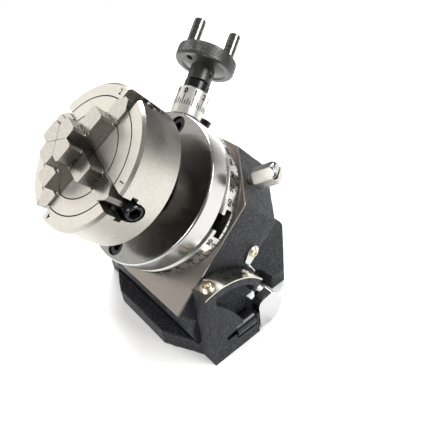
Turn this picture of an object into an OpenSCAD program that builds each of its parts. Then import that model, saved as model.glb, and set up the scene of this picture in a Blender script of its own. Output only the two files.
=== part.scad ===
// Tilting rotary table, 75 mm, with a four-jaw chuck on its table.
// Base on Z = 0, tilt axis along X, table axis inclined by the tilt setting.

/* [Table] */
// Table diameter
table_d = 75; // [60:1:100]
// Table disc thickness
table_t = 9.7; // [7:0.1:14]
// Chuck adapter plate thickness
plate_t = 11.5; // [8:0.5:16]

/* [Chuck] */
// Chuck body diameter
chuck_d = 65.2; // [50:0.2:74]
// Chuck body thickness
chuck_t = 22.7; // [18:0.1:30]
// Jaw width
jaw_w = 8.8; // [6:0.1:12]
// Angle of the first jaw about the table axis
jaw_a = -16; // [-45:1:45]

/* [Body] */
// Half width of the tilting body
body_h = 38.4; // [34:0.1:45]
// Tilting body thickness
body_t = 28; // [24:1:36]
// Tilt setting of the table as drawn
tilt_deg = 40; // [0:1:90]

/* [Base] */
// Base plate thickness
base_t = 9.8; // [8:0.1:14]
// Height of the tilt axis
pivot_z = 16; // [14:1:20]
// Outer radius of the tilt scale arch
arch_r = 30.5; // [28:0.5:34]

/* [Drive] */
// Worm wheel teeth
wheel_teeth = 36; // [36:1:36]
// Worm and wheel module
gear_m = 1.25; // [1:0.05:1.5]
// Angle of the worm axis in the table plane
worm_a = 15; // [0:1:20]
// Handwheel radius
hand_r = 17; // [12:0.5:22]

/* [Hidden] */

eps = 0.01;
run = 0.05;                 // radial running clearance
pivot_y = -32;              // tilt axis in the base
arm_y = 41.5;               // table axis to tilt axis, along the body
arm_z = 26;                 // ground face to tilt axis, through the body
table_r = table_d / 2;
tz0 = 0.1;                  // underside of the table
tz1 = tz0 + table_t;        // top of the table
pz1 = tz1 + plate_t;        // top of the adapter plate
cz0 = pz1 + 14;             // back of the chuck body
cz1 = cz0 + chuck_t;        // face of the chuck
chuck_r = chuck_d / 2;
slot_a = 5;                 // first T-slot, seen from above
fix_r = 31;                 // adapter screws
cheek_x0 = 39;
cheek_x1 = 49;
barrel_r = 12;
pin_r = 5;
wheel_pr = gear_m * wheel_teeth / 2;
worm_pr = 3.9;
worm_z = -12;
ptr_y = -1.9;               // pointer screw in the body
ptr_z = -23.9;
lock_a = 41;                // lock screw direction in the table plane
lock_l = 1;                 // and its offset from the table axis
lock_z = -6.8;
brake_r = 24.3;             // plain rim the lock pad presses on
worm_c = wheel_pr + worm_pr;
screw_z = cz0 + 11;         // jaw screw axis
screw_r = 3.95;
jaw_pitch = 1.5;
strip_a = 6;                // tilt strip screw, from the vertical
clamp_x = 45;
clamp_z = 10.4;

module tilt() translate([0, pivot_y, pivot_z]) rotate([tilt_deg, 0, 0])
  translate([0, arm_y, arm_z]) children();
// frame of the worm: +Z runs out along the shaft towards the handwheel
module worm_frame() translate([-worm_c * cos(worm_a), -worm_c * sin(worm_a), worm_z])
  rotate([0, 0, worm_a]) rotate([-90, 0, 0]) children();
module cyl(r, z0, z1, n = 64) translate([0, 0, z0]) cylinder(r = r, h = z1 - z0, $fn = n);
module along_x(x0, x1, r, y, z, n = 48) translate([x0, y, z]) rotate([0, 90, 0])
  cylinder(r = r, h = x1 - x0, $fn = n);
module along_y(y0, y1, r, x, z, n = 48) translate([x, y0, z]) rotate([-90, 0, 0])
  cylinder(r = r, h = y1 - y0, $fn = n);
// profile given in (Y, Z), extruded along X
module yz_slab(x0, x1, pts) translate([x0, 0, 0]) rotate([90, 0, 90])
  linear_extrude(x1 - x0) polygon(pts);
module ring(r0, r1, z0, z1, n = 64) rotate_extrude($fn = n)
  polygon([[r0, z0], [r1, z0], [r1, z1], [r0, z1]]);
function arc(cx, cy, r, a0, a1, n) =
  [for (i = [0 : n]) [cx + r * cos(a0 + (a1 - a0) * i / n), cy + r * sin(a0 + (a1 - a0) * i / n)]];

// ---------- base ----------
left_half = [[20, -51], [25.4, -48.6], [35.3, -43.3], [38, -42.2], [40, -41]];
right_half = [[40, -5.4], [28.5, -5.4], [27, -4.6], [26.5, -3], [26.5, 4.2]];
nose_half = [[33.4, 13.2], [33.4, 22.6], [6.5, 49.5], [4, 50.5]];
hold_in = arc(26.5, 8.85, 4.35, 250, 110, 8);
function flip(p) = [for (i = [len(p) - 1 : -1 : 0]) [-p[i][0], p[i][1]]];
module base_plate() {
  half = concat(left_half, right_half, hold_in, nose_half);
  linear_extrude(base_t) polygon(concat(half, flip(half)));
}
module cheek() {
  throat = concat([[-41, 0], [-5.4, 0], [-5.4, 12.5], [-13.5, 14.5], [-13.5, 29]],
    arc(pivot_y, pivot_z, arch_r, 37, 106, 16));
  difference() {
    yz_slab(cheek_x0, cheek_x1, throat);
    // recess under the arch
    yz_slab(cheek_x0 + 3, cheek_x1 + 1, concat([[-34.8, 38.5], [-30.1, 32.7],
      [-25.8, 26.3], [-21.5, 18], [-20.5, 12], [-13, 12], [-13, 28.6]],
      arc(pivot_y, pivot_z, arch_r - 3.6, 45, 96, 12)));
  }
}
module base_casting() color("#26282c") difference() {
  union() {
    base_plate();
    cheek();
    mirror([1, 0, 0]) cheek();
  }
  along_x(-cheek_x0 + 0.25, cheek_x0 - 0.25, barrel_r + 0.6, pivot_y, pivot_z, 72);
  for (s = [-1, 1]) along_x(s * 42.5 - 3.6, s * 42.5 + 3.6, pin_r + run, pivot_y, pivot_z);
  // clamp screw pocket, key groove and clearance bore
  along_y(-25.8, -12.6, 5, clamp_x, clamp_z);
  translate([clamp_x + 0.6, -25.7, clamp_z]) cube([10, 13, 4.7]);
  along_y(-32, -25, 2.9, clamp_x + 0.8, clamp_z + 0.8);
  translate([clamp_x + 1.1, -31.8, clamp_z + 0.8]) cube([5, 7, 2.6]);
  along_y(-13, 10, 2.8, clamp_x, clamp_z);
  // seat of the clamp shoe
  translate([clamp_x - 1.3, -11.1, -1]) cube([8, 7, 17]);
  // strip screw holes on the arch
  translate([44, pivot_y, pivot_z]) rotate([strip_a, 0, 0]) translate([0, 0, 27.4])
    cylinder(r = 1.5, h = 9, $fn = 32);
}
module arc_band(x0, x1, r0, r1, a0, a1, n) yz_slab(x0, x1,
  concat(arc(pivot_y, pivot_z, r1, a0, a1, n), arc(pivot_y, pivot_z, r0, a1, a0, n)));
module tilt_strip() color("#b9bab8") difference() {
  arc_band(cheek_x0, cheek_x1, arch_r + 0.02, arch_r + 0.8, 37, 106, 24);
  translate([44, pivot_y, pivot_z]) rotate([strip_a, 0, 0]) cylinder(r = 1.5, h = 40, $fn = 32);
}
// cross-slotted pan head with a washer face, head base at Z = 0
module small_screw(r, h, shank, len) {
  difference() {
    rotate_extrude($fn = 48) polygon([[0, 0], [r, 0], [r, h * 0.28], [r * 0.96, h * 0.36],
      [r * 0.84, h * 0.34], [r * 0.78, h * 0.42], [r * 0.76, h * 0.72], [r * 0.62, h * 0.92],
      [r * 0.35, h], [0, h]]);
    for (a = [20, 110]) rotate([0, 0, a]) translate([-r * 0.52, -r * 0.13, h * 0.5])
      cube([r * 1.04, r * 0.26, h]);
  }
  translate([0, 0, -len]) cylinder(r = shank, h = len + 0.1, $fn = 32);
}
module strip_screws() color("#c7a65c")
  translate([44, pivot_y, pivot_z]) rotate([strip_a, 0, 0])
    translate([0, 0, arch_r + 0.85]) small_screw(3.4, 1.7, 1.45, 3.5);
module hex_socket(af, depth) cylinder(r = af / sqrt(3), h = depth, $fn = 6);
module tilt_clamp_screw() color("#17181a") translate([clamp_x, 0, clamp_z])
  rotate([-90, 0, 0]) difference() {
    union() {
      cyl(4.5, -25.4, -13.2);
      cyl(2.5, -13.3, -2.2, 40);
    }
    translate([0, 0, -25.5]) hex_socket(5, 5);
  }
module tilt_clamp_shoe() color("#d8d8d6") difference() {
  union() {
    // jaw under the scale radius, full cheek width
    yz_slab(cheek_x0 + 0.4, cheek_x1 + 0.2, concat([[-5.1, 20], [-5.1, 2]],
      arc(pivot_y, pivot_z, arch_r - 0.1, -27.5, 7.5, 10)));
    // rounded outer lobe
    yz_slab(clamp_x - 1.1, cheek_x1 + 0.2, concat(arc(-7.4, 17.2, 3.4, 180, 95, 6),
      arc(-2.2, 17.9, 3.6, 85, 20, 6), arc(1, 11.2, 3.9, 20, -25, 5),
      arc(-1.6, 5.2, 3.4, -30, -90, 6), arc(-7.6, 5, 3.2, -90, -180, 6)));
  }
  along_y(-12, -1.9, 2.55, clamp_x, clamp_z);
}

// ---------- tilting body ----------
corner = body_h * sqrt(2);
module body_casting() color("#26282c") difference() {
  union() {
    translate([0, 0, -body_t]) linear_extrude(body_t) polygon([[-body_h, -42.8],
      [body_h, -42.8], [body_h, corner - body_h], [corner - 37.5, 37.5],
      [-30, 37.5], [-body_h, 29]]);
    along_x(-body_h, body_h, barrel_r, -arm_y, -arm_z, 72);
    worm_frame() cyl(9.5, -16, 46);
  }
  // spindle bearing, gear chamber and cover seat
  cyl(10 + run, -body_t - 1, 1, 72);
  cyl(25.2, -body_t - 1, -4.6, 72);
  cyl(30.1, -body_t - 1, -body_t + 2, 72);
  // worm tunnel with the seat of the eccentric bush
  worm_frame() {
    cyl(6.2, -12, 47, 48);
    cyl(3 + run, -16.5, 1, 40);
    cyl(7.52, 20, 47, 56);
  }
  // lock screw bore on the corner facet
  rotate([0, 0, lock_a]) along_x(20, body_h + 2, 2.05, lock_l, lock_z, 32);
  // hinge pin seats
  for (s = [-1, 1]) along_x(s * 32.3 - 6.2, s * 32.3 + 6.2, pin_r + 0.01, -arm_y, -arm_z);
  // threads for the cover and pointer screws
  for (a = [45 : 90 : 315]) rotate([0, 0, a]) translate([27.7, 0, -body_t - 1])
    cylinder(r = 1.3, h = 9, $fn = 32);
  along_x(30, body_h + 1, 1.3, ptr_y, ptr_z, 32);
  // screw that clamps the eccentric bush
  along_y(29, 38, 1.9, -20, -10, 32);
}
module hinge_pins() color("#8d8f90") for (s = [-1, 1])
  along_x(s * 35.8 - 9.6, s * 35.8 + 9.6, pin_r, -arm_y, -arm_z);
module bottom_cover() color("#707376") difference() {
  cyl(30, -body_t, -body_t + 1.9, 72);
  for (a = [45 : 90 : 315]) rotate([0, 0, a]) translate([27.7, 0, -body_t - 1])
    cylinder(r = 1.6, h = 4, $fn = 32);
  cyl(4.5, -body_t - 1, -body_t + 3, 40);
}
module cover_screws() color("#c7a65c") for (a = [45 : 90 : 315]) rotate([0, 0, a])
  translate([27.7, 0, -body_t - 0.02]) rotate([180, 0, 0]) small_screw(2.4, 1.4, 1.2, 7);
module tilt_pointer() color("#c9cac8") {
  difference() {
    translate([body_h, 0, 0]) rotate([90, 0, 90]) linear_extrude(0.8) polygon(concat(
      arc(ptr_y, ptr_z, 3.5, -70, 125, 14), [[-8.4, -22.7], [-8.4, -26.8]]));
    along_x(body_h - 1, body_h + 2, 1.5, ptr_y, ptr_z, 32);
  }
  // bent tongue reaching over the scale
  hull() {
    translate([body_h, -8.5, -26.9]) cube([0.8, 0.4, 4.3]);
    translate([body_h + 3.5, -9.6, -28.2]) cube([0.7, 0.4, 1]);
  }
}
module pointer_screw() color("#c7a65c") translate([body_h + 0.82, ptr_y, ptr_z])
  rotate([0, 90, 0]) small_screw(2.7, 1.4, 1.25, 6);
module eccentric_bush() color("#75777a") worm_frame() difference() {
  union() {
    cyl(7.5, 21, 47, 56);
    cyl(8.8, 46.2, 47.6, 56);
  }
  cyl(4 + run, 20, 49, 48);
}
module bush_clamp_screw() color("#2a2b2d") translate([-20, 0, -10]) rotate([-90, 0, 0])
  difference() {
    union() {
      cyl(1.8, 30, 37.7, 32);
      cyl(3, 37.6, 43.3, 40);
    }
    translate([0, 0, 40.6]) hex_socket(2.5, 4);
  }
module lock_knob() color("#c6c3bb") rotate([0, 0, lock_a]) translate([0, lock_l, lock_z])
  rotate([0, 90, 0]) {
    cyl(2, 27.2, body_h + 4, 32);
    difference() {
      translate([0, 0, body_h + 3.6]) intersection() {
        rotate([0, 0, -6.5]) cylinder(r = 5.5, h = 12, $fn = 6);
        rotate_extrude($fn = 48) polygon([[0, 0], [4.8, 0], [5.4, 0.7], [5.4, 10.2],
          [4.6, 11.5], [3.6, 12], [0, 12]]);
      }
      rotate([0, 0, 60]) translate([-6, -0.5, body_h + 13.9]) cube([12, 1, 3]);
    }
  }
module lock_pad() color("#b98b3e") rotate([0, 0, lock_a]) along_x(24.4, 27.1, 1.95, lock_l, lock_z, 32);
module thrust_ring() color("#b98b3e") ring(10.15, 14, -5.45, -4.65, 64);

// ---------- table and spindle ----------
module t_slots() for (i = [0 : 3]) rotate([0, 0, slot_a + 90 * i]) {
  translate([15, -3.8, tz0 + 2.2]) cube([30, 7.6, 12]);
  translate([15, -6.65, tz0 + 2.2]) cube([30, 13.3, 4]);
}
module table_disc() color("#aaa9a6") difference() {
  rotate_extrude($fn = 120) polygon([[8, tz0 + 3.05], [14, tz0 + 3.05], [14, tz0],
    [table_r - 0.5, tz0], [table_r, tz0 + 0.5], [table_r, tz1 - 1.3], [table_r - 1.3, tz1],
    [9, tz1], [8, tz1 - 1]]);
  t_slots();
  for (a = [50 : 90 : 320]) rotate([0, 0, a]) translate([11, 0, 0]) {
    cyl(1.6, 0, 20, 32);
    cyl(2.9, tz1 - 3, 20, 32);
  }
}
module spindle() color("#9a9a98") difference() {
  rotate_extrude($fn = 72) polygon([[5, -25.8], [7, -25.8], [7, -17.1], [9.95, -17.1],
    [9.95, tz0 + 0.02], [13.9, tz0 + 0.02], [13.9, tz0 + 3], [5, tz0 + 3]]);
  for (a = [50 : 90 : 320]) rotate([0, 0, a]) translate([11, 0, 0]) cyl(1.5, -0.5, 9, 32);
}
module spindle_screws() color("#17181a") for (a = [50 : 90 : 320])
  rotate([0, 0, a]) translate([11, 0, 0]) difference() {
    union() {
      cyl(1.45, tz0 + 0.1, tz1 - 2.9, 32);
      cyl(2.75, tz1 - 2.97, tz1 - 0.1, 32);
    }
    translate([0, 0, tz1 - 1.6]) hex_socket(2.5, 3);
  }
gear_n = wheel_teeth;
module worm_wheel() color("#b08d4c") {
  tip_r = wheel_pr + 0.9 * gear_m * 0.8;
  root_r = wheel_pr - 1.1 * gear_m * 0.8;
  difference() {
    union() {
      cyl(brake_r, -7.45, -5.55, 72);
      translate([0, 0, worm_z - 4.5]) linear_extrude(9.1)
        polygon([for (i = [0 : gear_n - 1]) for (k = [0 : 3])
          let(a = 360 / gear_n * (i + [-0.34, -0.14, 0.14, 0.34][k]) + worm_a,
          r = k == 0 || k == 3 ? root_r : tip_r) [r * cos(a), r * sin(a)]]);
    }
    cyl(10, -20, 0, 64);
  }
}
module spindle_nut() color("#5b5d60") difference() {
  ring(7.02, 11.6, -22.4, -17.2, 64);
  for (a = [0 : 90 : 270]) rotate([0, 0, a]) translate([9.8, -1.5, -23]) cube([4, 3, 8]);
}
module chuck_adapter() color("#b4b4b2") difference() {
  rotate_extrude($fn = 120) polygon([[7, tz1 + 0.02], [table_r - 1.1, tz1 + 0.02],
    [table_r, tz1 + 1.1], [table_r, pz1 - 0.7], [table_r - 0.7, pz1], [13, pz1],
    [13, pz1 + 2], [9.4, pz1 + 2], [9.4, pz1 + 11], [8.4, pz1 + 12], [7, pz1 + 12]]);
  for (i = [1, 3]) rotate([0, 0, slot_a + 90 * i]) translate([fix_r, 0, 0]) {
    cyl(2.7, tz1 - 1, pz1 + 1, 32);
    cyl(4.6, pz1 - 5.8, pz1 + 1, 40);
  }
}
module adapter_screws() color("#17181a") for (i = [1, 3])
  rotate([0, 0, slot_a + 90 * i]) translate([fix_r, 0, 0]) difference() {
    union() {
      cyl(2.45, tz0 + 2.6, pz1 - 5.6, 32);
      cyl(4.2, pz1 - 5.75, pz1 - 1, 40);
    }
    translate([0, 0, pz1 - 3.8]) hex_socket(4, 5);
  }
module t_nuts() color("#4a4c4f") for (i = [1, 3]) rotate([0, 0, slot_a + 90 * i])
  difference() {
    union() {
      translate([fix_r - 4.5, -6.1, tz0 + 2.35]) cube([9, 12.2, 3.6]);
      translate([fix_r - 4.5, -3.6, tz0 + 5]) cube([9, 7.2, 4.2]);
    }
    translate([fix_r, 0, 0]) cyl(2.5, 0, 20, 32);
  }

// ---------- chuck ----------
face_ring = 0.55;
module jaw_dir(i) rotate([0, 0, jaw_a + 90 * i]) children();
module chuck_body() color("#b5b0a6") difference() {
  rotate_extrude($fn = 120) polygon([[9.5, pz1 + 2.1], [17, pz1 + 2.1], [17, cz0],
    [chuck_r - 1.2, cz0], [chuck_r, cz0 + 1.2], [chuck_r, cz1 - 1.2], [chuck_r - 1.2, cz1],
    [26.1 + face_ring / 2, cz1], [26.1, cz1 - 0.4], [26.1 - face_ring / 2, cz1],
    [19 + face_ring / 2, cz1], [19, cz1 - 0.4], [19 - face_ring / 2, cz1],
    [6, cz1], [6, cz0 - 1], [9.5, cz0 - 1]]);
  for (i = [0 : 3]) jaw_dir(i) {
    // jaw slot with its side guides
    translate([0, -jaw_w / 2 - 0.1, screw_z]) cube([40, jaw_w + 0.2, 30]);
    translate([0, -jaw_w / 2 - 1.6, cz1 - 8.6]) cube([40, jaw_w + 3.2, 3.2]);
    // screw tunnel and thrust block pocket
    along_x(6, 40, screw_r + 0.3, 0, screw_z, 40);
    translate([17.5, -4.4, screw_z - 6.2]) cube([5, 8.8, 8]);
  }
}
jaw_steps = [[9.4, 14], [18.8, 8], [29, 1.4]];   // outer end, height over the face
module jaw_shape() {
  hw = jaw_w / 2;
  base = cz1 - 11;
  module level(end, top, tip) translate([0, 0, base]) linear_extrude(top - base)
    polygon([[0.15, 0], [hw + 0.1, -hw], [end - tip, -hw], [end, -hw + tip * 0.9],
      [end, hw - tip * 0.9], [end - tip, hw], [hw + 0.1, hw]]);
  difference() {
    union() {
      level(jaw_steps[0][0], cz1 + jaw_steps[0][1], 1);
      level(jaw_steps[1][0], cz1 + jaw_steps[1][1], 1);
      level(jaw_steps[2][0], cz1 + jaw_steps[2][1], 3.6);
      translate([7.5, -hw - 1.4, cz1 - 8.4]) cube([19, jaw_w + 2.8, 2.8]);
    }
    // relief at the foot of each step
    for (k = [0, 1]) translate([jaw_steps[k][0] + 0.02, -hw - 1, cz1 + jaw_steps[k + 1][1] - 0.8])
      cube([1.1, jaw_w + 2, 0.9]);
    // half thread that rides on the screw
    along_x(-1, 34, screw_r + 0.3, 0, screw_z, 40);
  }
}
module jaw(i) color("#bdb6aa") jaw_dir(i) jaw_shape();
module jaw_1() jaw(0);
module jaw_2() jaw(1);
module jaw_3() jaw(2);
module jaw_4() jaw(3);
module jaw_screw(i) color("#17181a") jaw_dir(i) translate([0, 0, screw_z])
  rotate([0, 90, 0]) difference() {
    rotate_extrude($fn = 48) polygon([[0, 9.5], [3.2, 9.5], [screw_r, 10.3], [screw_r, 18],
      [2.4, 18], [2.4, 22], [screw_r, 22], [screw_r, 31.6], [3.4, 32.4], [0, 32.4]]);
    translate([0, 0, 28]) hex_socket(4.9, 5);
  }
module jaw_screw_1() jaw_screw(0);
module jaw_screw_2() jaw_screw(1);
module jaw_screw_3() jaw_screw(2);
module jaw_screw_4() jaw_screw(3);
module thrust_blocks() color("#6a6c6f") for (i = [0 : 3]) jaw_dir(i) difference() {
  translate([18.15, -4.25, screw_z - 6.1]) cube([3.7, 8.5, 6.1]);
  along_x(10, 30, 2.46, 0, screw_z, 40);
}

// ---------- worm, dial and handwheel ----------
worm_pitch = PI * gear_m;
module worm_shaft() color("#87898b") worm_frame() {
  cyl(3, -15.6, -8.6, 40);
  // thread crests standing in the gaps of the wheel
  rotate_extrude($fn = 48) polygon(concat([[0, -8.7], [2.7, -8.7]],
    [for (i = [-2 : 1]) each let(s = (i + 0.5) * worm_pitch) [[2.7, s - 1.1],
      [4.45, s - 0.45], [4.45, s + 0.45], [2.7, s + 1.1]]], [[2.7, 8.7], [0, 8.7]]));
  cyl(4, 8.6, 64, 48);
  cyl(3, 63, 80, 40);
}
module dial_sleeve() color("#c8c8c6") worm_frame() rotate_extrude($fn = 80)
  polygon([[4.06, 48], [8.6, 48], [9, 48.4], [9, 63.4], [8.4, 64], [4.06, 64]]);
module dial_collar() color("#1b1c1e") worm_frame() difference() {
  rotate_extrude($fn = 56) polygon([[3.1, 64.1], [7.2, 64.1], [7.2, 69], [5.6, 69],
    [5.6, 69.9], [3.1, 69.9]]);
  rotate([0, 0, 18]) translate([0, 0, 66.5]) rotate([0, 90, 0])
    cylinder(r = 1.3, h = 10, $fn = 32);
}
module collar_screw() color("#0f1011") worm_frame() rotate([0, 0, 18])
  translate([0, 0, 66.5]) rotate([0, 90, 0]) difference() {
    cyl(1.25, 3.15, 6.9, 32);
    translate([0, 0, 5.4]) hex_socket(1.3, 3);
  }
hand_hub = 70;
crank_a = 50;               // handles about the worm axis
crank_r = 10.6;
module handwheel() color("#232426") worm_frame() difference() {
  rotate_extrude($fn = 96) polygon([[3.05, hand_hub], [6.6, hand_hub], [7, hand_hub + 0.4],
    [7, 78.2], [12.6, 79.6], [13.6, 79], [hand_r - 0.8, 79], [hand_r, 79.8], [hand_r, 86.2],
    [hand_r - 0.8, 87], [15, 87], [14.4, 85.2], [7, 84.8], [6, 85], [3.05, 85]]);
  for (s = [0, 180]) rotate([0, 0, s + crank_a]) translate([crank_r, 0, 0])
    cyl(2.02, 80.9, 90, 32);
  rotate([0, 0, 262]) translate([11, 0, 0]) cyl(1.8, 70, 90, 32);
  rotate([0, 0, 4]) translate([0, 0, 74]) rotate([0, 90, 0])
    cylinder(r = 1.3, h = 10, $fn = 32);
}
module hub_screw() color("#0f1011") worm_frame() rotate([0, 0, 4])
  translate([0, 0, 74]) rotate([0, 90, 0]) difference() {
    cyl(1.25, 3.1, 6.7, 32);
    translate([0, 0, 5.2]) hex_socket(1.3, 3);
  }
module handle_frame(s) worm_frame() rotate([0, 0, s + crank_a])
  translate([crank_r, 0, 0]) children();
module handle_pins() color("#8d8f90") for (s = [0, 180]) handle_frame(s) {
  cyl(2, 81, 102.5, 32);
  cyl(2.7, 102.4, 103.2, 32);
}
module handle(s) color("#6f7274") handle_frame(s) rotate_extrude($fn = 48)
  polygon([[2.06, 85.4], [3.2, 85.4], [3.5, 85.8], [3.5, 102.2], [3.45, 103.6], [3, 104.2],
    [2.85, 104.2], [2.85, 102.2], [2.06, 102.2]]);
module handle_1() handle(0);
module handle_2() handle(180);

base_casting();
tilt_strip();
strip_screws();
tilt_clamp_screw();
tilt_clamp_shoe();
tilt() body_casting();
tilt() hinge_pins();
tilt() bottom_cover();
tilt() cover_screws();
tilt() tilt_pointer();
tilt() pointer_screw();
tilt() eccentric_bush();
tilt() bush_clamp_screw();
tilt() lock_knob();
tilt() lock_pad();
tilt() thrust_ring();
tilt() table_disc();
tilt() spindle();
tilt() spindle_screws();
tilt() worm_wheel();
tilt() spindle_nut();
tilt() chuck_adapter();
tilt() adapter_screws();
tilt() t_nuts();
tilt() chuck_body();
tilt() jaw_1();
tilt() jaw_2();
tilt() jaw_3();
tilt() jaw_4();
tilt() jaw_screw_1();
tilt() jaw_screw_2();
tilt() jaw_screw_3();
tilt() jaw_screw_4();
tilt() thrust_blocks();
tilt() worm_shaft();
tilt() dial_sleeve();
tilt() dial_collar();
tilt() collar_screw();
tilt() handwheel();
tilt() hub_screw();
tilt() handle_pins();
tilt() handle_1();
tilt() handle_2();
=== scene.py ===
import math
import bpy
import bmesh
from mathutils import Matrix, Vector, noise


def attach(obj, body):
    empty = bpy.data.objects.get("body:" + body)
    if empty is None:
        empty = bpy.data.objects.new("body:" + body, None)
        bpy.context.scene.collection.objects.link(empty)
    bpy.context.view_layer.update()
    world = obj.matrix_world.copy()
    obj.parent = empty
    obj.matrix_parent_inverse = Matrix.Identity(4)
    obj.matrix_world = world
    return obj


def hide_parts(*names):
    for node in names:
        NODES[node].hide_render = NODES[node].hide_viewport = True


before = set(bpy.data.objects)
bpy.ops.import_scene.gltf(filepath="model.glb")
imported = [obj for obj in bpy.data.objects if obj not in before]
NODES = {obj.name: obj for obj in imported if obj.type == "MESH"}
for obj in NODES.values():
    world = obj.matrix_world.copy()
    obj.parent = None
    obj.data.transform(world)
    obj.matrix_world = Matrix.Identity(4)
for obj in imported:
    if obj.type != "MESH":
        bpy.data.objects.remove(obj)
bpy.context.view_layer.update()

MM = 0.001
rad = math.radians

# ---------------------------------------------------------------- frames (mm -> m)
TILT = rad(40)
PIVOT = (0, -32 * MM, 16 * MM)                 # a point on the tilt axis
BODY_OFF = (0, 41.5 * MM, 26 * MM)             # body's own origin from the tilt axis
WORM_C, WORM_TURN, WORM_Z = 26.4, rad(15), -12
M_WORLD = Matrix.Scale(MM, 4)
M_PIVOT = Matrix.Translation(PIVOT) @ M_WORLD
M_BODY = (Matrix.Translation(PIVOT) @ Matrix.Rotation(TILT, 4, "X")
          @ Matrix.Translation(BODY_OFF) @ M_WORLD)
WORM_FOOT = (-WORM_C * math.cos(WORM_TURN), -WORM_C * math.sin(WORM_TURN), WORM_Z)
M_WORM = (M_BODY @ Matrix.Translation(WORM_FOOT)
          @ Matrix.Rotation(WORM_TURN, 4, "Z") @ Matrix.Rotation(rad(-90), 4, "X"))


# ---------------------------------------------------------------- materials
def nodes_of(name, color, metal, rough, spec=0.5):
    """A material with one Principled shader, its node tree and that shader."""
    m = bpy.data.materials.new(name)
    m.use_nodes = True
    nt = m.node_tree
    b = nt.nodes["Principled BSDF"]
    b.inputs["Base Color"].default_value = (*color, 1)
    b.inputs["Metallic"].default_value = metal
    b.inputs["Roughness"].default_value = rough
    b.inputs["Specular IOR Level"].default_value = spec
    return m, nt, b


def coords(nt, scale=(1, 1, 1)):
    tc = nt.nodes.new("ShaderNodeTexCoord")
    mp = nt.nodes.new("ShaderNodeMapping")
    mp.inputs["Scale"].default_value = scale
    nt.links.new(tc.outputs["Object"], mp.inputs["Vector"])
    return mp.outputs["Vector"]


def noise_tex(nt, vec, scale, detail=3, rough=0.6):
    n = nt.nodes.new("ShaderNodeTexNoise")
    n.inputs["Scale"].default_value = scale
    n.inputs["Detail"].default_value = detail
    n.inputs["Roughness"].default_value = rough
    nt.links.new(vec, n.inputs["Vector"])
    return n.outputs["Fac"]


def ramp(nt, fac, stops):
    r = nt.nodes.new("ShaderNodeValToRGB")
    while len(r.color_ramp.elements) < len(stops):
        r.color_ramp.elements.new(0.5)
    for e, (p, c) in zip(r.color_ramp.elements, stops):
        e.position = p
        e.color = (*c, 1) if not isinstance(c, float) else (c, c, c, 1)
    nt.links.new(fac, r.inputs["Fac"])
    return r.outputs["Color"]


def bump(nt, b, height, strength, dist):
    bp = nt.nodes.new("ShaderNodeBump")
    bp.inputs["Strength"].default_value = strength
    bp.inputs["Distance"].default_value = dist
    nt.links.new(height, bp.inputs["Height"])
    nt.links.new(bp.outputs["Normal"], b.inputs["Normal"])


def steel(name, color, rough, scale=900, var=0.06, rvar=0.08, stretch=(1, 1, 1),
          bumpiness=0.05, metal=1.0):
    """Machined metal: fine grain in colour and bump, slow patches in roughness."""
    m, nt, b = nodes_of(name, color, metal, rough)
    v = coords(nt, stretch)
    f = noise_tex(nt, v, scale, 4)
    c0 = tuple(max(0, x * (1 - var * 2)) for x in color)
    c1 = tuple(min(1, x * (1 + var)) for x in color)
    nt.links.new(ramp(nt, f, [(0.3, c0), (0.7, c1)]), b.inputs["Base Color"])
    g = noise_tex(nt, coords(nt), 60, 3)
    nt.links.new(ramp(nt, g, [(0.3, rough - rvar), (0.7, rough + rvar)]), b.inputs["Roughness"])
    bump(nt, b, f, bumpiness, 0.0001)
    return m


def crinkle(name):
    """Black crinkle paint, with a painted highlight on its crests."""
    m, nt, b = nodes_of(name, (0.018, 0.019, 0.023), 0.0, 0.4, 0.26)
    v = coords(nt)
    f = noise_tex(nt, v, 1150, 4, 0.7)
    # speckle tone varies at random, but its lightest values sit on the bump crests (the same noise
    # drives the bump): painted highlight on the crests
    paint = ramp(nt, f, [(0.38, (0.002, 0.0021, 0.0029)), (0.50, (0.007, 0.0074, 0.0095)),
                         (0.60, (0.032, 0.033, 0.040)), (0.70, (0.12, 0.122, 0.14))])
    nt.links.new(paint, b.inputs["Base Color"])
    g = noise_tex(nt, v, 900, 3)
    nt.links.new(ramp(nt, g, [(0.35, 0.28), (0.65, 0.55)]), b.inputs["Roughness"])
    bump(nt, b, f, 0.8, 0.0008)
    return m


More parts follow.
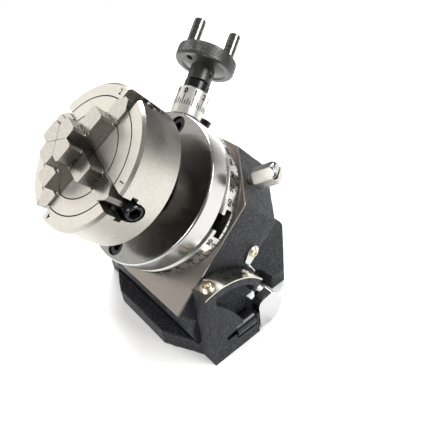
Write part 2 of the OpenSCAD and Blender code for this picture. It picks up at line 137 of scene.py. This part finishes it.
# name, colour, roughness, grain scale, colour change, roughness change, stretch, bump, metal
MAT = {
    "cast": crinkle("cast_paint"),
    "ground": steel("ground_face", (0.26, 0.236, 0.214), 0.33, 500, 0.06, 0.05, (1, 8, 1)),
    "table": steel("table_steel", (0.46, 0.45, 0.425), 0.25, 700, 0.08, 0.07, (1, 1, 6)),
    # polished adapter face: real polish, with a base colour set well below the turned rim's as a
    # painted dark reflection of the chuck's underside
    "mirror": steel("polished_plate_painted_reflection", (0.26, 0.26, 0.255), 0.17, 300, 0.05, 0.04, bumpiness=0.01),
    "rim": steel("turned_rim", (0.45, 0.445, 0.435), 0.22, 600, 0.05, 0.06, (1, 1, 5), 0.03),
    "face": steel("chuck_face", (0.66, 0.63, 0.58), 0.48, 900, 0.04, 0.05, bumpiness=0.04),
    "chuck": steel("chuck_steel", (0.43, 0.41, 0.37), 0.30, 900, 0.06, 0.06, bumpiness=0.05),
    "jaw": steel("jaw_steel", (0.50, 0.475, 0.44), 0.24, 600, 0.05, 0.05, bumpiness=0.02),
    # darker copy of the jaw steel for the jaw sides: painted shade
    "jaw_side_painted_shade": steel("jaw_side_painted_shade", (0.17, 0.16, 0.145), 0.25, 700, 0.10, 0.06, bumpiness=0.03),
    "black": steel("black_oxide", (0.020, 0.020, 0.022), 0.22, 1500, 0.2, 0.06, metal=0.6),
    "wheel": steel("handwheel_grey", (0.060, 0.061, 0.058), 0.34, 1500, 0.2, 0.06, metal=0.7),
    "bright": steel("bright_polish", (0.50, 0.50, 0.495), 0.20, 200, 0.02, 0.03, bumpiness=0.01),
    "plain": steel("plain_steel", (0.40, 0.40, 0.40), 0.3, 700, 0.08, 0.06),
    "handle": steel("handle_grey", (0.20, 0.20, 0.185), 0.24, 700, 0.35, 0.08, bumpiness=0.08,
                    metal=0.95),
    "bronze": steel("bronze", (0.62, 0.42, 0.20), 0.3, 600, 0.08),
    "zinc": steel("yellow_zinc", (0.74, 0.67, 0.52), 0.24, 900, 0.12, 0.08),
    "brass": steel("brass_tint", (0.66, 0.58, 0.38), 0.27, 900, 0.12, 0.08),
    "dial": steel("dial_silver", (0.56, 0.55, 0.515), 0.34, 800, 0.05, 0.05, bumpiness=0.03,
                  metal=0.65),
    "strip": steel("scale_strip", (0.44, 0.42, 0.38), 0.2, 500, 0.07, 0.06),
    "knob": steel("knob_satin", (0.42, 0.41, 0.385), 0.27, 700, 0.06, 0.06),
    "ink": steel("black_filling", (0.010, 0.010, 0.011), 0.80, 900, 0.2, 0.05, metal=0.0),
}
MAT["ink"].node_tree.nodes["Principled BSDF"].inputs["Specular IOR Level"].default_value = 0.06
USES = {
    "cast": "base_casting body_casting",
    "strip": "tilt_strip",
    "zinc": "strip_screws cover_screws pointer_screw",
    "black": "tilt_clamp_screw bush_clamp_screw spindle_screws adapter_screws dial_collar"
             " collar_screw hub_screw jaw_screw_1 jaw_screw_2 jaw_screw_3 jaw_screw_4",
    "bright": "tilt_clamp_shoe",
    "plain": "hinge_pins bottom_cover eccentric_bush spindle spindle_nut t_nuts thrust_blocks"
             " worm_shaft handle_pins",
    "rim": "tilt_pointer chuck_adapter",
    "knob": "lock_knob",
    "bronze": "lock_pad thrust_ring worm_wheel",
    "table": "table_disc",
    "chuck": "chuck_body",
    "jaw": "jaw_1 jaw_2 jaw_3 jaw_4",
    "dial": "dial_sleeve",
    "wheel": "handwheel",
    "handle": "handle_1 handle_2",
}
for finish, users in USES.items():
    for node in users.split():
        slots = NODES[node].data.materials
        slots.clear()
        slots.append(MAT[finish])


def second_finish(node, key, M_local, test):
    """Give the faces whose middle (in mm) and normal pass the test a second finish."""
    o = NODES[node]
    o.data.materials.append(MAT[key])
    inv_l = M_local.inverted() @ o.matrix_world
    turn = inv_l.to_3x3()
    for p in o.data.polygons:
        if test(inv_l @ p.center, (turn @ p.normal).normalized()):
            p.material_index = 1


ADAPTER_FACE, CHUCK_Z, LOCK_A, KNOB_START = 21.2, 58.0, rad(41), 41.8
# the adapter's top face gets the darkened polished finish: painted dark reflection
second_finish("chuck_adapter", "mirror", M_BODY, lambda p, n: p.z > ADAPTER_FACE and n.z > 0.9)
second_finish("chuck_body", "face", M_BODY, lambda p, n: p.z > CHUCK_Z - 0.1)
for i in range(1, 5):
    # side faces of the jaws that don't face -X take the darker jaw side finish as painted shade
    second_finish(f"jaw_{i}", "jaw_side_painted_shade", M_BODY, lambda p, n: n.z < 0.3 and n.x > -0.2)
second_finish("lock_knob", "brass", M_BODY,
              lambda p, n: p.x * math.cos(LOCK_A) + p.y * math.sin(LOCK_A) < KNOB_START)


# ---------------------------------------------------------------- detail helpers
def mesh_obj(name, verts, faces, mat):
    me = bpy.data.meshes.new(name)
    me.from_pydata(verts, [], faces)
    me.update()
    me.materials.append(mat)
    o = bpy.data.objects.new(name, me)
    bpy.context.scene.collection.objects.link(o)
    return o


def finish_obj(o, body):
    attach(o, body)
    return o


class Marks:
    """Collects flat outlines mapped onto a surface, as thin filled engraving."""

    def __init__(self):
        self.v, self.f = [], []

    def add(self, pts, tris, mapping, h0=-0.06, h1=0.02):
        base = len(self.v)
        n = len(pts)
        self.v += [mapping(x, y, h1) for x, y in pts] + [mapping(x, y, h0) for x, y in pts]
        self.f += [tuple(base + i for i in t) for t in tris]
        edges = {}
        for t in tris:
            for a, c in zip(t, t[1:] + t[:1]):
                if (c, a) in edges:
                    del edges[(c, a)]
                else:
                    edges[(a, c)] = True
        self.f += [(base + a, base + a + n, base + c + n, base + c) for a, c in edges]

    def bar(self, x0, x1, y0, y1, mapping, steps=1, proud=0.02):
        pts, tris = [], []
        for i in range(steps + 1):
            x = x0 + (x1 - x0) * i / steps
            pts += [(x, y0), (x, y1)]
        for i in range(steps):
            k = 2 * i
            tris.append((k, k + 2, k + 3, k + 1))
        self.add(pts, tris, mapping, h1=proud)

    def make(self, name, body):
        finish_obj(mesh_obj(name, self.v, self.f, MAT["ink"]), body)


_glyphs = {}


def glyphs(text, size, thick):
    """Filled outline of some figures, centred, as points and triangles."""
    key = (text, size, thick)
    if key not in _glyphs:
        cu = bpy.data.curves.new("txt", "FONT")
        cu.body = text
        cu.size = size
        cu.align_x = "CENTER"
        cu.align_y = "CENTER"
        cu.resolution_u = 3
        cu.offset = thick
        o = bpy.data.objects.new("txt", cu)
        bpy.context.scene.collection.objects.link(o)
        bpy.context.view_layer.update()
        me = bpy.data.meshes.new_from_object(o.evaluated_get(bpy.context.evaluated_depsgraph_get()))
        bm = bmesh.new()
        bm.from_mesh(me)
        bmesh.ops.remove_doubles(bm, verts=bm.verts, dist=size * 1e-4)
        bmesh.ops.triangulate(bm, faces=bm.faces)
        ys = [v.co.y for v in bm.verts]
        mid_y = (min(ys) + max(ys)) / 2
        pts = [(v.co.x, v.co.y - mid_y) for v in bm.verts]
        tris = []
        for f in bm.faces:
            ids = [v.index for v in f.verts]
            if f.normal.z < 0:
                ids.reverse()
            tris.append(tuple(ids))
        bm.free()
        bpy.data.objects.remove(o)
        bpy.data.curves.remove(cu)
        _glyphs[key] = (pts, tris)
    return _glyphs[key]


def on_cyl(M, r, a0, z0):
    """x runs round the cylinder, y along its axis."""
    def f(x, y, h):
        a = a0 + x / r
        return M @ Vector(((r + h) * math.cos(a), (r + h) * math.sin(a), z0 + y))
    return f


def on_face(M, cx, cy, z, turn):
    """Flat on a face at height z, turned about its middle."""
    c, s = math.cos(turn), math.sin(turn)

    def f(x, y, h):
        return M @ Vector((cx + c * x - s * y, cy + s * x + c * y, z + h))
    return f


# ---------------------------------------------------------------- engraved scales
# Table: every 5 degrees, shorter where a T-slot comes out, figures every 10 between the slots.
TABLE_R, SCALE0 = 37.5, -40.0
marks = Marks()
for d in range(0, 360, 5):
    a = rad(SCALE0 + d)
    slot_d = abs(d % 90 - 45)
    top = 4.0 if d % 10 == 0 else 2.6
    if slot_d < 10.6:
        top = 2.1
    marks.bar(-0.22, 0.22, 0.65, top, on_cyl(M_BODY, TABLE_R, a, 0))
    if d % 10 == 0 and slot_d > 12:
        p, t = glyphs(str(d), 3.5, 0.13)
        marks.add(p, t, on_cyl(M_BODY, TABLE_R, a, 5.9), h1=0.04)
marks.make("table_scale_marks", "table")

# Dial: 40 divisions of a quarter degree, a figure at each whole degree.
DIAL_R, DIAL0, DIAL_N = 9.0, 286.0, 40
marks = Marks()
for i in range(DIAL_N):
    a = rad(DIAL0 + i * 360 / DIAL_N)
    top = 58.9 if i % 4 == 0 else (56.6 if i % 4 == 2 else 55.6)
    marks.bar(-0.24, 0.24, 53.0, top, on_cyl(M_WORM, DIAL_R, a, 0), proud=0.05)
    if i % 4 == 0:
        p, t = glyphs(str(i // 4), 4.1, 0.18)
        marks.add(p, t, on_cyl(M_WORM, DIAL_R, a, 60.8), h1=0.09)
marks.make("dial_marks", "dial")

# Tilt: degrees on the strip, about the tilt axis and measured from +Y.
M_ARCH = M_PIVOT @ Matrix(((0, 0, 1, 0), (1, 0, 0, 0), (0, 1, 0, 0), (0, 0, 0, 1)))
STRIP_R = 31.3
marks = Marks()
for t_deg in range(50, 91):
    a = rad(t_deg - 12)
    top = 43.0 if t_deg % 10 == 0 else (42.0 if t_deg % 5 == 0 else 41.2)
    marks.bar(-0.11, 0.11, 39.4, top, on_cyl(M_ARCH, STRIP_R, a, 0))
    if t_deg % 10 == 0:
        p, t = glyphs(str(t_deg), 2.9, 0.06)
        marks.add(p, t, on_cyl(M_ARCH, STRIP_R, a, 45.4))
marks.make("tilt_scale_marks", "base")

# Jaw numbers beside the slots.
JAW0, NUMBER_R = -16, 29.2
marks = Marks()
for i in range(4):
    a = rad(JAW0 + 90 * i + 15.5)
    p, t = glyphs(str(i + 1), 3.6, 0.07)
    marks.add(p, t, on_face(M_BODY, NUMBER_R * math.cos(a), NUMBER_R * math.sin(a), CHUCK_Z,
                            a - math.pi / 2))
marks.make("jaw_numbers", "table")

# Scribed circles on the chuck face, filled dark and broken by the jaw slots.
SLOT_HALF, LINE_HALF = 4.75, 0.26
marks = Marks()
for r in (26.1, 19.0):
    gap = math.asin(SLOT_HALF / r)
    flat = on_face(M_BODY, 0, 0, CHUCK_Z, 0)

    def on_ring(x, y, h, r=r):
        return flat((r + y) * math.cos(x), (r + y) * math.sin(x), h)
    for i in range(4):
        a0 = rad(JAW0 + 90 * i)
        marks.bar(a0 + gap, a0 + math.pi / 2 - gap, -LINE_HALF, LINE_HALF, on_ring, 30)
marks.make("scribed_circles", "table")


# ---------------------------------------------------------------- castings with crinkle paint
def casting(node, body, M_local, voxel, keep_flat, seed):
    """Replaces a painted casting with a remeshed copy that has the paint's relief (in mm)."""
    src = NODES[node]
    tmp = src.copy()
    tmp.data = src.data.copy()
    tmp.parent = None
    tmp.name = node + "_src"
    bpy.context.scene.collection.objects.link(tmp)
    w = tmp.modifiers.new("w", "WELD")
    w.merge_threshold = 1e-5
    rm = tmp.modifiers.new("r", "REMESH")
    rm.mode = "VOXEL"
    rm.voxel_size = voxel * MM
    rm.use_smooth_shade = True
    bpy.context.view_layer.update()
    me = bpy.data.meshes.new_from_object(tmp.evaluated_get(bpy.context.evaluated_depsgraph_get()))
    inv = M_local.inverted()
    off = Vector((seed, seed * 0.7, seed * 1.3))
    co = []
    for v in me.vertices:
        p = inv @ v.co
        k = keep_flat(p)
        n = noise.noise(p / 0.95 + off) * 0.16 + noise.noise(p / 0.45 + off) * 0.07
        n += noise.noise(p / 6.0 - off) * 0.12         # slow waves of the casting itself
        co.append(v.co + v.normal * (n * k * MM))
    for v, c in zip(me.vertices, co):
        v.co = c
    bpy.data.objects.remove(tmp)
    o = bpy.data.objects.new(node.replace("_casting", "_painted_casting"), me)
    bpy.context.scene.collection.objects.link(o)
    me.materials.clear()
    me.materials.append(MAT["cast"])
    for p in me.polygons:
        p.use_smooth = True
    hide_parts(node)
    return finish_obj(o, body)


def flat_body(p):
    """No relief at the body's ground top face."""
    return 0.0 if p.z > -0.6 else min(1.0, (-0.6 - p.z) / 0.6)


def flat_base(p):
    """No relief at the base's underside."""
    return 0.0 if p.z < 0.4 else min(1.0, (p.z - 0.4) / 0.6)


VOX = 0.5
body_paint = casting("body_casting", "tilt_body", M_BODY, VOX, flat_body, 3.1)
casting("base_casting", "base", M_WORLD, VOX, flat_base, 11.7)
PAINT_TOP = -0.35                              # the paint stops just under the ground face
inv = M_BODY.inverted()
for v in body_paint.data.vertices:
    p = inv @ v.co
    if p.z > PAINT_TOP:
        p.z = PAINT_TOP
        v.co = M_BODY @ p

# ground top face of the tilting body: a plate with the body's outline and the spindle hole
H, Q, BACK, FRONT = 38.4, 38.4 * math.sqrt(2), 37.5, -42.8
PLATE_TOP, PLATE_LOW, HOLE_R, HOLE_N = 0.03, -1.1, 10.4, 64
outline = [(-H, FRONT), (H, FRONT), (H, Q - H), (Q - BACK, BACK), (-30, BACK), (-H, 29)]
hole = [2 * math.pi * i / HOLE_N for i in range(HOLE_N)]
bm = bmesh.new()
outer_t = [bm.verts.new((x, y, PLATE_TOP)) for x, y in outline]
outer_b = [bm.verts.new((x, y, PLATE_LOW)) for x, y in outline]
inner_t = [bm.verts.new((HOLE_R * math.cos(a), HOLE_R * math.sin(a), PLATE_TOP)) for a in hole]
inner_b = [bm.verts.new((v.co.x, v.co.y, PLATE_LOW)) for v in inner_t]
for ring in (outer_t, outer_b, inner_t, inner_b):
    for i in range(len(ring)):
        bm.edges.new((ring[i], ring[(i + 1) % len(ring)]))
for a_, b_ in ((outer_t, outer_b), (inner_t, inner_b)):
    for i in range(len(a_)):
        bm.faces.new((a_[i], a_[(i + 1) % len(a_)], b_[(i + 1) % len(b_)], b_[i]))
for ra, rb in ((outer_t, inner_t), (outer_b, inner_b)):
    es = [e for e in bm.edges if set(e.verts) <= set(ra) or set(e.verts) <= set(rb)]
    bmesh.ops.triangle_fill(bm, edges=es, use_beauty=True)
bmesh.ops.recalc_face_normals(bm, faces=bm.faces)
bmesh.ops.transform(bm, matrix=M_BODY, verts=bm.verts)
me = bpy.data.meshes.new("ground_face")
bm.to_mesh(me)
bm.free()
gf = bpy.data.objects.new("ground_face", me)
bpy.context.scene.collection.objects.link(gf)
me.materials.append(MAT["ground"])
bv = gf.modifiers.new("b", "BEVEL")
bv.width = 0.35 * MM
bv.segments = 1
bv.limit_method = "ANGLE"
bv.angle_limit = rad(40)
finish_obj(gf, "tilt_body")

# ---------------------------------------------------------------- knurled handwheel rim
KNURL_N, KNURL_ROWS = 440, 26                  # points round the rim and across it
KNURL_R, KNURL_IN, KNURL_H, K0, K1 = 16.9, 16.2, 0.30, 79.9, 86.1
DIAMONDS, PITCH = 70, 1.45
turns = [2 * math.pi * i / KNURL_N for i in range(KNURL_N)]
vs, fs = [], []
for j in range(KNURL_ROWS + 1):
    z = K0 + (K1 - K0) * j / KNURL_ROWS
    edge = min(1.0, min(j, KNURL_ROWS - j) / 1.5)
    for a in turns:
        u, v = a * DIAMONDS / (2 * math.pi), (z - K0) / PITCH
        t1 = abs(((u + v) % 1.0) - 0.5) * 2
        t2 = abs(((u - v) % 1.0) - 0.5) * 2
        r = KNURL_R + KNURL_H * min(1.0, 1.35 * min(t1, t2)) * edge
        vs.append(M_WORM @ Vector((r * math.cos(a), r * math.sin(a), z)))
for z in (K1, K0):
    for a in turns:
        vs.append(M_WORM @ Vector((KNURL_IN * math.cos(a), KNURL_IN * math.sin(a), z)))
rows = KNURL_ROWS + 3
for k in range(rows):
    a_, b_ = k * KNURL_N, (k + 1) % rows * KNURL_N
    for i in range(KNURL_N):
        i2 = (i + 1) % KNURL_N
        fs.append((a_ + i, a_ + i2, b_ + i2, b_ + i))
kn = mesh_obj("handwheel_knurl", vs, fs, MAT["wheel"])
finish_obj(kn, "worm")


# ---------------------------------------------------------------- edges of the CAD pieces
def soften(node, width):
    """Small bevel (mm) and clean shading; the mesh itself stays as it is."""
    o = NODES[node]
    w = o.modifiers.new("weld", "WELD")
    w.merge_threshold = 2e-6
    if width > 0:
        bv = o.modifiers.new("edge", "BEVEL")
        bv.width = width * MM
        bv.segments = 2
        bv.limit_method = "ANGLE"
        bv.angle_limit = rad(32)
        bv.use_clamp_overlap = True
        bv.miter_outer = "MITER_ARC"
    sp = o.modifiers.new("split", "EDGE_SPLIT")
    sp.split_angle = rad(24 if width > 0 else 30)
    wn = o.modifiers.new("flat", "WEIGHTED_NORMAL")
    wn.mode = "FACE_AREA_WITH_ANGLE"
    wn.weight = 50
    wn.keep_sharp = True


EDGES = {"table_disc": 0.15, "chuck_adapter": 0.2, "chuck_body": 0.15, "tilt_clamp_shoe": 0.7,
         "tilt_clamp_screw": 0.3, "lock_knob": 0.25, "handwheel": 0.2, "tilt_strip": 0.12,
         "tilt_pointer": 0.15, "dial_sleeve": 0.15, "dial_collar": 0.15}
for i in range(1, 5):
    EDGES[f"jaw_{i}"] = 0.28
    EDGES[f"jaw_screw_{i}"] = 0.15
for n in NODES:
    if n in ("body_casting", "base_casting"):
        continue
    for p in NODES[n].data.polygons:
        p.use_smooth = True
    soften(n, EDGES.get(n, 0))


# ---------------------------------------------------------------- floor, light, camera
floor_mat, nt, b = nodes_of("floor_white", (0.93, 0.93, 0.925), 0.0, 0.55, 0.25)
clouds = ramp(nt, noise_tex(nt, coords(nt), 6, 3),
              [(0.3, (0.92, 0.92, 0.915)), (0.7, (0.94, 0.94, 0.935))])
nt.links.new(clouds, b.inputs["Base Color"])
FLOOR_R, FLOOR_N = 0.62, 96
ring = [2 * math.pi * i / FLOOR_N for i in range(FLOOR_N)]
floor = mesh_obj("floor", [(FLOOR_R * math.cos(a), FLOOR_R * math.sin(a), 0) for a in ring],
                 [tuple(range(FLOOR_N))], floor_mat)

world = bpy.data.worlds.new("studio")
bpy.context.scene.world = world
world.use_nodes = True
wn = world.node_tree
bg = wn.nodes["Background"]
bg.inputs["Color"].default_value = (1.0, 1.0, 1.0, 1)
path = wn.nodes.new("ShaderNodeLightPath")
glow = wn.nodes.new("ShaderNodeMapRange")      # dim for lighting, white where seen directly
glow.inputs["To Min"].default_value = 0.15
glow.inputs["To Max"].default_value = 1.0
wn.links.new(path.outputs["Is Camera Ray"], glow.inputs["Value"])
wn.links.new(glow.outputs["Result"], bg.inputs["Strength"])


def area(name, loc, target, size, power, color=(1, 1, 1)):
    ld = bpy.data.lights.new(name, "AREA")
    ld.shape = "RECTANGLE"
    ld.size, ld.size_y = size
    ld.energy = power
    ld.color = color
    o = bpy.data.objects.new(name, ld)
    bpy.context.scene.collection.objects.link(o)
    o.location = loc
    o.rotation_mode = "QUATERNION"
    o.rotation_quaternion = (Vector(target) - Vector(loc)).to_track_quat("-Z", "Y")


area("key", (-0.45, 0.40, 0.80), (0, 0, 0.05), (0.6, 0.45), 14.0)
area("fill", (0.65, 0.40, 0.65), (0, 0, 0.04), (0.6, 0.35), 10.0)
area("front", (0.10, -0.80, 0.60), (0, 0, 0.05), (0.7, 0.22), 7.0)
area("left", (-0.745, -0.43, 0.445), (0, -0.054, 0.107), (0.9, 0.7), 2.6, (1.0, 0.97, 0.93))

# camera at the photograph's viewpoint, solved from the round edges
cam_d = bpy.data.cameras.new("camera")
cam_d.sensor_width = 36.0
cam_d.lens = 41.62
cam_d.clip_start = 0.01
cam_d.clip_end = 20
cam = bpy.data.objects.new("camera", cam_d)
bpy.context.scene.collection.objects.link(cam)
right = Vector((0.6406, 0.7598, -0.1107)).normalized()
fwd = Vector((-0.6425, 0.4515, -0.6192)).normalized()
up = right.cross(fwd).normalized()
right = fwd.cross(up).normalized()
cam.matrix_world = Matrix((
    (right.x, up.x, -fwd.x, 0.1728), (right.y, up.y, -fwd.y, -0.1161),
    (right.z, up.z, -fwd.z, 0.2063), (0, 0, 0, 1)))
bpy.context.scene.camera = cam
bpy.context.scene.view_settings.view_transform = "Standard"
